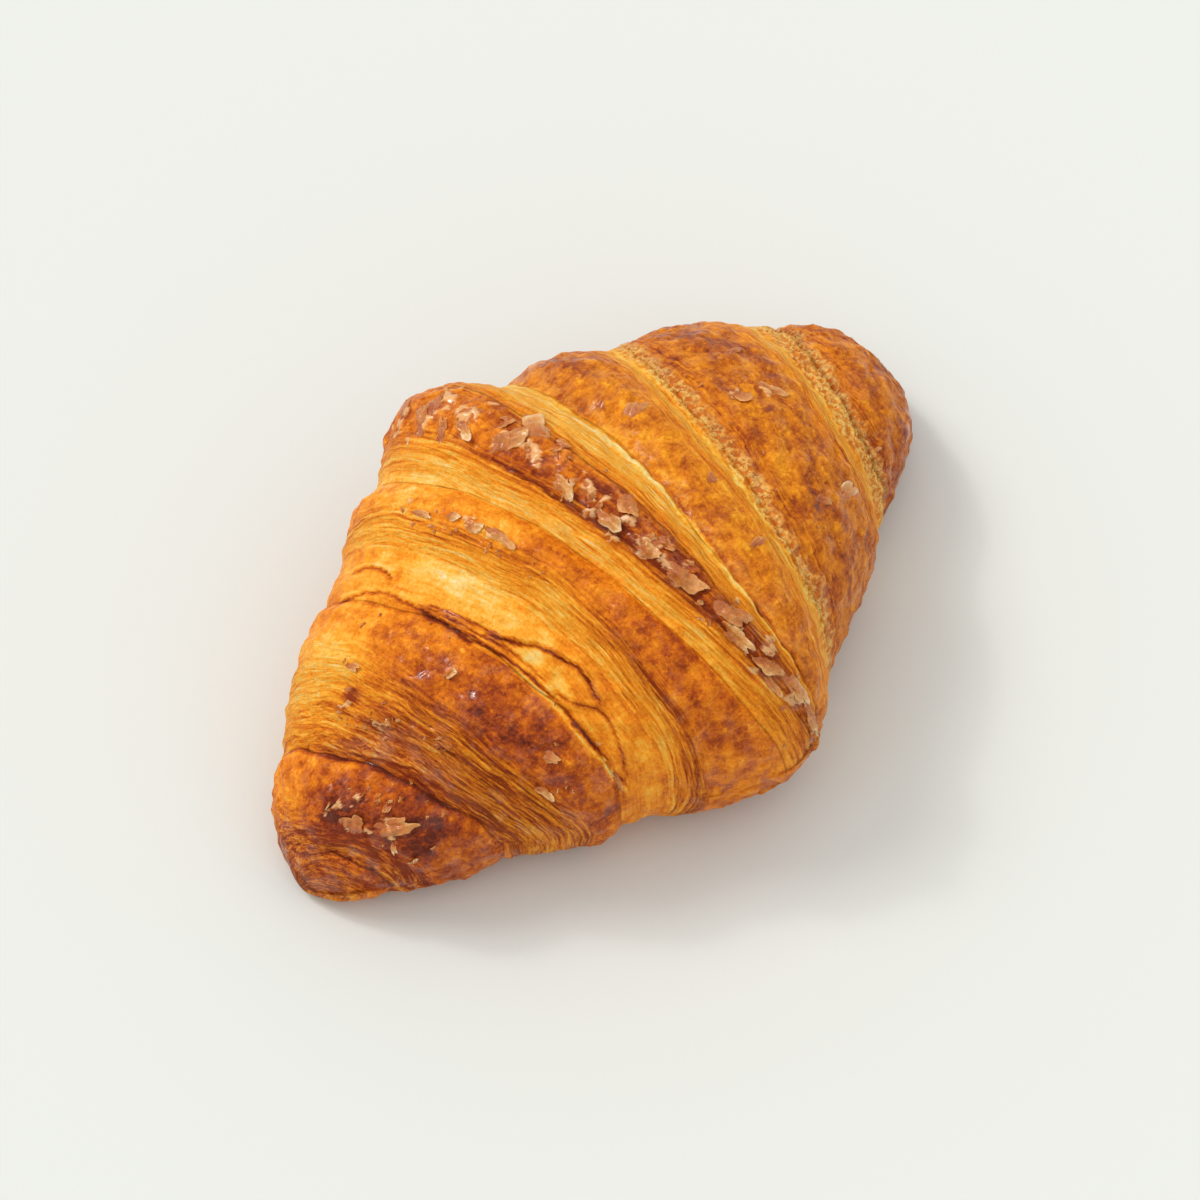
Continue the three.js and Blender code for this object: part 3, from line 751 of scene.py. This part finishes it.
# A flake's points: its middle, then ring after ring. How far out each lies, and on which spoke
FLAKE_SHARES = np.concatenate([[0], np.repeat(np.arange(1, FLAKE_RINGS + 1) / FLAKE_RINGS, FLAKE_SPOKES)])
FLAKE_SPOKE_OF = np.concatenate([[0], np.tile(np.arange(FLAKE_SPOKES), FLAKE_RINGS)])


def flake_faces():
    """The faces of one flake's closed shell: its top, its bottom and the edge between them."""
    def at(ring, spoke):
        return 1 + (ring - 1) * FLAKE_SPOKES + spoke % FLAKE_SPOKES

    faces = []
    count = len(FLAKE_SHARES)
    for spoke in range(FLAKE_SPOKES):
        faces.append((0, at(1, spoke), at(1, spoke + 1)))
        faces.append((count, count + at(1, spoke + 1), count + at(1, spoke)))
        for ring in range(1, FLAKE_RINGS):
            quad = (at(ring, spoke), at(ring + 1, spoke), at(ring + 1, spoke + 1), at(ring, spoke + 1))
            faces.append(quad)
            faces.append(tuple(count + corner for corner in reversed(quad)))
        outer, following = at(FLAKE_RINGS, spoke), at(FLAKE_RINGS, spoke + 1)
        faces.append((outer, count + outer, count + following, following))
    return faces


def flake_outline(turned, draw):
    """How far the edge of a flake lies from its middle, all round, uneven as torn dough is."""
    corners = draw.uniform(0, 6.3)
    waves = 0.16 * np.abs(np.sin(1.5 * turned + corners)) - 0.2
    waves = waves + 0.12 * np.abs(np.sin(2.5 * turned - corners))
    for lobes, depth in ((2, 0.24), (3, 0.2), (4, 0.1), (6, 0.08), (9, 0.06), (13, 0.04)):
        waves = waves + depth * draw.uniform(0.4, 1) * np.sin(lobes * turned + draw.uniform(0, 6.3))
    return 0.9 + waves


def flake_shell(start, end, width, lift, skin_tree, draw):
    """One flake as a thin shell laid on the skin: its points, and how far each lies to its free side."""
    (from_point, to_point), (normal, _) = on_body([start[0], end[0]], [start[1], end[1]])
    length = np.linalg.norm(to_point - from_point)
    ahead = (to_point - from_point) / length
    beside = np.cross(normal, ahead)
    beside = beside / np.linalg.norm(beside)
    up = np.cross(ahead, beside)
    turned = np.arange(FLAKE_SPOKES) * math.tau / FLAKE_SPOKES
    outline = flake_outline(turned, draw)
    free_side = draw.uniform(-0.9, 0.9)
    offset = draw.uniform(0, 99)
    x, y = (FLAKE_SHARES * (outline * part)[FLAKE_SPOKE_OF] for part in (np.cos(turned), np.sin(turned)))
    free = x * math.cos(free_side) + y * math.sin(free_side)
    middle = (from_point + to_point) / 2 + SKIN_SHIFT
    ground = middle + np.outer(x * length / 2, ahead) + np.outer(y * width / 2, beside)
    for place in ground:
        hit = skin_tree.ray_cast(Vector(place + up * 8), Vector(-up), 16)[0]
        if hit:
            place[:] = hit
    wrinkles = np.array([noise.noise((a, b, 0)) for a, b in zip(x * 2.1 + offset, y * 2.1)])
    height = (0.07 + lift * np.maximum(0, free + 0.55) ** 2 / 2 + (0.1 + 0.5 * lift) * wrinkles
              + 0.14 * width ** 0.5 * (1 - FLAKE_SHARES ** 2)
              - 0.22 * FLAKE_SHARES ** 3 * np.maximum(0, -free))
    top = ground + np.outer(height, up)
    return np.concatenate([top, top - up * FLAKE_THICKNESS]), free


def strewn_flakes(draw):
    """The small flakes of the bands, in the form that FLAKES has."""
    strewn = []
    for along, angle_from, angle_to, spread, count, size in STREWN:
        lean = FLAKE_LEAN * (int(along > 5) - int(along < -5))
        for _ in range(count):
            angle = draw.uniform(angle_from, angle_to)
            place = along + lean * (CROWN_AT - angle) + draw.uniform(-spread, spread)
            long = size * draw.uniform(0.6, 1.5)
            heading = draw.uniform(0, math.tau)
            end = (place + long * math.cos(heading), angle + math.degrees(long * math.sin(heading) / 40))
            width = long * draw.uniform(0.4, 0.8)
            lift, pale = draw.uniform(0.2, 0.5), draw.uniform(0.3, 0.9)
            strewn.append(((place, angle), end, width, lift, pale))
    return strewn


def build_flakes(skin):
    """All the flakes in one piece, the named ones first, then small ones strewn along the bands."""
    draw = random.Random(FLAKE_SEED)
    corners = [vertex.co / MM for vertex in skin.data.vertices]
    skin_tree = BVHTree.FromPolygons(corners, [tuple(face.vertices) for face in skin.data.polygons])
    shell_faces = flake_faces()
    points, faces, pales = [], [], []
    for start, end, width, lift, pale in FLAKES + strewn_flakes(draw):
        shell, free = flake_shell(start, end, width, lift, skin_tree, draw)
        before = len(points) * len(shell)
        points.append(shell)
        faces += [tuple(before + corner for corner in face) for face in shell_faces]
        tones = pale * (0.1 + 0.65 * smoothstep(free, -0.9, 0.6) + 0.3 * FLAKE_SHARES ** 4)
        pales += tones.tolist() * 2
    mesh = smooth_mesh("crust_flakes", np.concatenate(points), faces)
    write_field(mesh, "pale", pales)
    return add_object("crust_flakes", mesh)


class Nodes:
    """A short way to write the nodes of a material or a world."""

    def __init__(self, owner, shader="Principled BSDF"):
        owner.use_nodes = True
        self.owner = owner
        self.tree = owner.node_tree
        self.shader = self.tree.nodes[shader]

    def add(self, kind, inputs=None, **settings):
        node = self.tree.nodes.new(kind)
        for name, value in settings.items():
            setattr(node, name, value)
        for key, value in (inputs or {}).items():
            self.put(value, node.inputs[key])
        return node

    def put(self, value, socket):
        if isinstance(value, bpy.types.NodeSocket):
            self.tree.links.new(value, socket)
        else:
            socket.default_value = value

    def finish(self, inputs):
        """Sets inputs of the shader, and gives back the material or world."""
        for name, value in inputs.items():
            self.put(value, self.shader.inputs[name])
        return self.owner

    def attribute(self, name, output="Fac"):
        return self.add("ShaderNodeAttribute", attribute_name=name).outputs[output]

    def place(self):
        """The place of a point in the object, in metres."""
        return self.add("ShaderNodeTexCoord").outputs["Object"]

    def math(self, operation, a, b=0.0, c=0.0):
        return self.add("ShaderNodeMath", {0: a, 1: b, 2: c}, operation=operation).outputs[0]

    def minus(self, a, b):
        return self.math("SUBTRACT", a, b)

    def times(self, a, b):
        return self.math("MULTIPLY", a, b)

    def scale_add(self, value, factor, added):
        return self.math("MULTIPLY_ADD", value, factor, added)

    def largest(self, first, *others):
        for other in others:
            first = self.math("MAXIMUM", first, other)
        return first

    def vector(self, operation, *inputs):
        return self.add("ShaderNodeVectorMath", dict(enumerate(inputs)), operation=operation).outputs[0]

    def noise(self, vector, scale, detail=3.0, roughness=0.5, distortion=0.0, output="Fac"):
        wanted = {"Vector": vector, "Scale": scale, "Detail": detail, "Roughness": roughness,
                  "Distortion": distortion}
        return self.add("ShaderNodeTexNoise", wanted).outputs[output]

    def cells(self, vector, scale):
        """A value from 0 to 1 that is the same all over each cell of an uneven pattern."""
        pattern = self.add("ShaderNodeTexVoronoi", {"Vector": vector, "Scale": scale})
        return self.add("ShaderNodeSeparateColor", {0: pattern.outputs["Color"]}).outputs[0]

    def ranged(self, value, low, high, to_low=0.0, to_high=1.0, smooth=True):
        wanted = {"Value": value, "From Min": low, "From Max": high, "To Min": to_low, "To Max": to_high}
        kind = "SMOOTHSTEP" if smooth else "LINEAR"
        return self.add("ShaderNodeMapRange", wanted, interpolation_type=kind).outputs["Result"]

    def veins(self, value, low, high):
        """1 where a noise is at its middle, falling to 0 between low and high away from it."""
        return self.ranged(self.math("ABSOLUTE", self.minus(value, 0.5)), low, high, 1.0, 0.0)

    def mix(self, share, a, b, blend_type="MIX"):
        node = self.add("ShaderNodeMix", data_type="RGBA", blend_type=blend_type, clamp_factor=True)
        self.put(share, node.inputs[0])
        self.put(a, node.inputs[6])
        self.put(b, node.inputs[7])
        return node.outputs[2]

    def ramp(self, value, stops):
        node = self.add("ShaderNodeValToRGB", {"Fac": value})
        elements = node.color_ramp.elements
        while len(elements) < len(stops):
            elements.new(0.5)
        for element, (place, *shade) in zip(elements, stops):
            element.position = place
            element.color = colour(*shade)
        return node.outputs["Color"]

    def bump(self, height, distance):
        wanted = {"Height": height, "Distance": distance, "Strength": 0.9}
        return self.add("ShaderNodeBump", wanted).outputs["Normal"]


def colour(red, green, blue):
    """A colour from the 0 to 255 values a screen shows it with."""
    def linear(value):
        share = value / 255
        return share / 12.92 if share <= 0.04045 else ((share + 0.055) / 1.055) ** 2.4
    return (linear(red), linear(green), linear(blue), 1.0)


def strip_patterns(nodes):
    """The patterns that run along the layers of the rolled strip."""
    strip = nodes.attribute("strip", "Vector")
    sway = nodes.noise(nodes.vector("MULTIPLY", strip, (0.16, 0.07, 1)), 1, 2)
    swayed = nodes.vector("ADD", strip, sway)

    def stretched(across, along):
        return nodes.vector("MULTIPLY", swayed, (across, along, 1))

    return {
        "fibres": nodes.noise(stretched(3.6, 0.3), 1, 4, 0.65),
        "threads": nodes.noise(stretched(0.95, 0.06), 1, 3, 0.55),
        "lines": nodes.ranged(nodes.noise(stretched(1.7, 0.12), 1, 3, 0.6), 0.47, 0.56),
        "pales": nodes.ranged(nodes.noise(stretched(1.3, 0.14), 1, 3, 0.6), 0.55, 0.62),
        "bundles": nodes.noise(stretched(0.34, 0.03), 1, 2),
        "seams": nodes.veins(nodes.noise(stretched(1.3, 0.09), 1, 1), 0.0, 0.03),
        "smears": nodes.noise(stretched(0.3, 0.12), 1, 3, 0.5, 0.5),
        "strands": nodes.cells(stretched(2.3, 0.2), 1),
        "splinters": nodes.cells(stretched(1.1, 0.09), 1),
    }


def skin_patterns(nodes, place):
    """The patterns that have no direction."""
    jitter = nodes.noise(place, 700, 2, output="Color")
    jittered = nodes.vector("MULTIPLY_ADD", jitter, (0.0016,) * 3, place)
    return {
        "patches": nodes.noise(place, 75, 3),
        "blotches": nodes.noise(place, 230, 4, 0.55, 0.4),
        "islands": nodes.ranged(nodes.noise(place, 300, 5, 0.62, 0.2), 0.5, 0.54),
        "flecks": nodes.ranged(nodes.noise(place, 560, 4, 0.6), 0.58, 0.66),
        "dimples": nodes.noise(place, 620, 5, 0.65),
        "grain": nodes.noise(place, 1500, 4, 0.7),
        "wet": nodes.ranged(nodes.noise(place, 210, 3, 0.6), 0.5, 0.62),
        "chips": nodes.cells(jittered, 520),
        "scales": nodes.cells(jittered, 210),
        "curls": nodes.veins(nodes.noise(jittered, 620, 2, 0.5, 0.6), 0.01, 0.09),
    }


def crust_regions(nodes, fields, along):
    """Where the crust is striped, as cut edges and the tips are, where it is plain skin, and how far
    the stripes have baked."""
    striped = nodes.largest(
        fields["cut"], nodes.times(fields["dough"], 0.35), nodes.times(fields["brink"], 0.6),
        nodes.ranged(along, -0.071, -0.077, 0, 0.8), nodes.ranged(along, 0.067, 0.075, 0, 0.6))
    return {
        "everywhere": 1.0,
        "striped": striped,
        "plain": nodes.minus(1, striped),
        "uncrumbed": nodes.minus(1, nodes.times(fields["crumb"], 0.2)),
        "baked": nodes.times(nodes.ranged(fields["browning"], 0.3, 0.7, 0.75, 2.0), striped),
        "toasted": nodes.times(nodes.ranged(fields["browning"], 0.5, 0.72), striped),
    }


def patterned_browning(nodes, crust):
    """How brown the crust is once the patterns have made it browner and paler."""
    browning = crust["browning"]
    for where, patterns in BROWNING_PATTERNS.items():
        for what, middle, weight in patterns:
            centred = nodes.times(nodes.minus(crust[what], middle), weight)
            browning = nodes.scale_add(centred, crust[where], browning)
    darkest = nodes.minus(1.02, nodes.times(crust["striped"], 0.18))
    return nodes.math("SMOOTH_MIN", browning, darkest, 0.1)


def crust_colour(nodes, crust, browning, along):
    """The colour that the browning gives, with the tints of the two sides, a painted sheen and partly
    painted sky reflection on the toasted stripes at the left end, and the crumbs and the films, both with
    painted shade low down and painted light where they stand out.
    """
    browned = nodes.ramp(browning, BROWNING_STOPS)
    to_right = nodes.times(nodes.ranged(along, -0.01, 0.015), crust["plain"])
    browned = nodes.mix(to_right, browned, (0.98, 1.17, 1.1, 1), "MULTIPLY")
    # The purple cast of the toasted stripes at the left end: partly their own colour, partly painted sky
    # reflection
    to_left = nodes.times(nodes.ranged(along, -0.05, -0.057), crust["toasted"])
    browned = nodes.mix(to_left, browned, (1.05, 0.98, 2.1, 1), "MULTIPLY")
    # A painted pinkish sheen over part of those stripes
    painted_sheen = nodes.times(nodes.ranged(crust["smears"], 0.44, 0.6, 0, 0.3), to_left)
    painted_sheen = nodes.times(painted_sheen, nodes.ranged(along, -0.066, -0.062))
    browned = nodes.mix(painted_sheen, browned, colour(204, 134, 100))
    # Crumb colour from its curls, with painted shade in the hollows and painted light where it stands out
    curls_and_shade = nodes.scale_add(crust["relief_shading"], 0.5, crust["curls"])
    crumbled = nodes.mix(curls_and_shade, colour(222, 122, 38), colour(255, 212, 126))
    browned = nodes.mix(nodes.times(crust["crumb"], 0.68), browned, crumbled)
    # Films paler where they stand out and darker low down: painted light and shade over their own tan
    # colour
    film_shading = nodes.ranged(crust["relief_shading"], -0.5, 0.7)
    filmy = nodes.mix(film_shading, colour(200, 110, 40), colour(248, 194, 132))
    return nodes.mix(nodes.times(crust["film"], 0.74), browned, filmy)


def crust_shine(nodes, crust, browning):
    """How much glaze lies on the crust: most on wet spots, on dark skin and on the films."""
    glazed = nodes.times(nodes.ranged(crust["browning"], 0.45, 0.75), crust["wet"])
    dark = nodes.times(nodes.ranged(browning, 0.7, 0.86), nodes.ranged(crust["striped"], 0.5, 0.0))
    return nodes.largest(
        nodes.scale_add(glazed, 0.6, 0.03),
        nodes.times(dark, nodes.scale_add(crust["wet"], 0.5, 0.12)),
        nodes.times(nodes.times(crust["toasted"], crust["wet"]), 0.8),
        nodes.times(crust["film"], 0.8))


def crust_roughness(nodes, crust):
    over_cut = nodes.ranged(crust["fibres"], 0.3, 0.7, 0.44, 0.62, False)
    over_skin = nodes.ranged(crust["blotches"], 0.3, 0.7, 0.3, 0.5, False)
    return nodes.scale_add(nodes.minus(over_cut, over_skin), crust["striped"], over_skin)


def crust_grain(nodes, crust):
    """The finest relief, which is too small for the mesh."""
    over_skin = nodes.scale_add(crust["chips"], 0.12, crust["dimples"])
    over_cut = nodes.scale_add(crust["lines"], -0.35, crust["fibres"])
    over_cut = nodes.scale_add(crust["strands"], 0.3, over_cut)
    over_cut = nodes.times(over_cut, nodes.scale_add(crust["toasted"], 0.8, 0.6))
    height = nodes.scale_add(over_skin, crust["plain"], nodes.times(over_cut, crust["striped"]))
    height = nodes.scale_add(crust["grain"], 0.3, height)
    height = nodes.scale_add(nodes.times(crust["curls"], crust["crumb"]), 0.22, height)
    return nodes.bump(height, 0.0009)


def crust_material():
    nodes = Nodes(bpy.data.materials.new("baked_crust"))
    place = nodes.place()
    along = nodes.add("ShaderNodeSeparateXYZ", {0: place}).outputs["X"]
    crust = {name: nodes.attribute(name) for name in SKIN_FIELDS}
    crust.update(strip_patterns(nodes))
    crust.update(skin_patterns(nodes, place))
    crust.update(crust_regions(nodes, crust, along))
    browning = patterned_browning(nodes, crust)
    return nodes.finish({
        "Base Color": crust_colour(nodes, crust, browning, along),
        "Coat Weight": crust_shine(nodes, crust, browning),
        "Coat Roughness": 0.13,
        "Roughness": crust_roughness(nodes, crust),
        "Specular IOR Level": 0.12,
        "Normal": crust_grain(nodes, crust),
    })


def flake_material():
    nodes = Nodes(bpy.data.materials.new("peeled_flake"))
    place = nodes.place()
    clouds = nodes.minus(nodes.noise(place, 420, 4, 0.6), 0.5)
    veins = nodes.minus(nodes.noise(place, 1300, 3, 0.6), 0.5)
    tone = nodes.scale_add(clouds, 1.0, nodes.attribute("pale"))
    return nodes.finish({
        "Base Color": nodes.ramp(nodes.scale_add(veins, 0.4, tone), FLAKE_STOPS),
        "Roughness": nodes.ranged(clouds, -0.2, 0.2, 0.18, 0.36, False),
        "Coat Weight": 0.6,
        "Coat Roughness": 0.12,
        "Specular IOR Level": 0.3,
        "Subsurface Weight": 0.2,
        "Subsurface Radius": (0.0015, 0.0007, 0.0003),
        "Subsurface Scale": 1.0,
        "Normal": nodes.bump(clouds, 0.0012),
    })


def place_camera():
    """Sets up the photograph's view, and gives its right and the level direction away from it."""
    turned, down = math.radians(LOOK_AZIMUTH), math.radians(LOOK_DOWN)
    right = Vector((math.cos(turned), math.sin(turned), 0))
    ahead = Vector((-math.sin(turned), math.cos(turned), 0))
    up = ahead * math.sin(down) + Vector((0, 0, math.cos(down)))
    back = Vector((0, 0, math.sin(down))) - ahead * math.cos(down)
    half = FRAME_PX / 2
    target = right * (half - ORIGIN_PX[0]) / SCALE_PX + up * (ORIGIN_PX[1] - half) / SCALE_PX
    camera = add_object("camera", bpy.data.cameras.new("camera"))
    camera.location = (target + back * (FOCAL_PX / SCALE_PX)) * MM
    camera.rotation_euler = back.to_track_quat("Z", "Y").to_euler()
    camera.data.sensor_width = SENSOR_WIDTH
    camera.data.lens = FOCAL_PX / FRAME_PX * SENSOR_WIDTH
    bpy.context.scene.camera = camera
    return right, ahead


def far_light(name, direction, spread, strength, tint):
    lamp = bpy.data.lights.new(name, "SUN")
    lamp.angle = math.radians(spread)
    lamp.energy = strength
    lamp.color = tint
    add_object(name, lamp).rotation_euler = direction.to_track_quat("Z", "Y").to_euler()


def light_scene(right, ahead):
    """A soft window high to the left, and a pale room that is brighter overhead than below."""
    from_window = -0.7 * right + 0.35 * ahead + 0.9 * Vector((0, 0, 1))
    far_light("window", from_window, 24, 0.92, (1, 0.97, 0.91))
    far_light("glint", from_window + 0.1 * ahead, 5, 0.3, (1, 0.98, 0.95))
    nodes = Nodes(bpy.data.worlds.new("studio"), "Background")
    direction = nodes.add("ShaderNodeTexCoord").outputs["Generated"]
    height = nodes.add("ShaderNodeSeparateXYZ", {0: direction}).outputs["Z"]
    bpy.context.scene.world = nodes.finish({
        "Strength": nodes.ranged(height, 0, 1, 0.58, 1.06, False),
        "Color": (1.0, 0.98, 0.925, 1),
    })
    bpy.context.scene.view_settings.view_transform = "Standard"


def lay_floor():
    size = 3.0
    mesh = bpy.data.meshes.new("floor")
    corners = [(-size, -size, 0), (size, -size, 0), (size, size, 0), (-size, size, 0)]
    mesh.from_pydata(corners, [], [(0, 1, 2, 3)])
    nodes = Nodes(bpy.data.materials.new("pale_floor"))
    mesh.materials.append(nodes.finish({
        "Base Color": colour(222, 226, 226), "Roughness": 0.9, "Specular IOR Level": 0.1}))
    add_object("floor", mesh)


camera_right, camera_ahead = place_camera()
light_scene(camera_right, camera_ahead)
lay_floor()

skin = build_skin()
skin.data.materials.append(crust_material())
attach(skin, "root")
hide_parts("croissant")

flakes = build_flakes(skin)
flakes.data.materials.append(flake_material())
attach(flakes, "root")
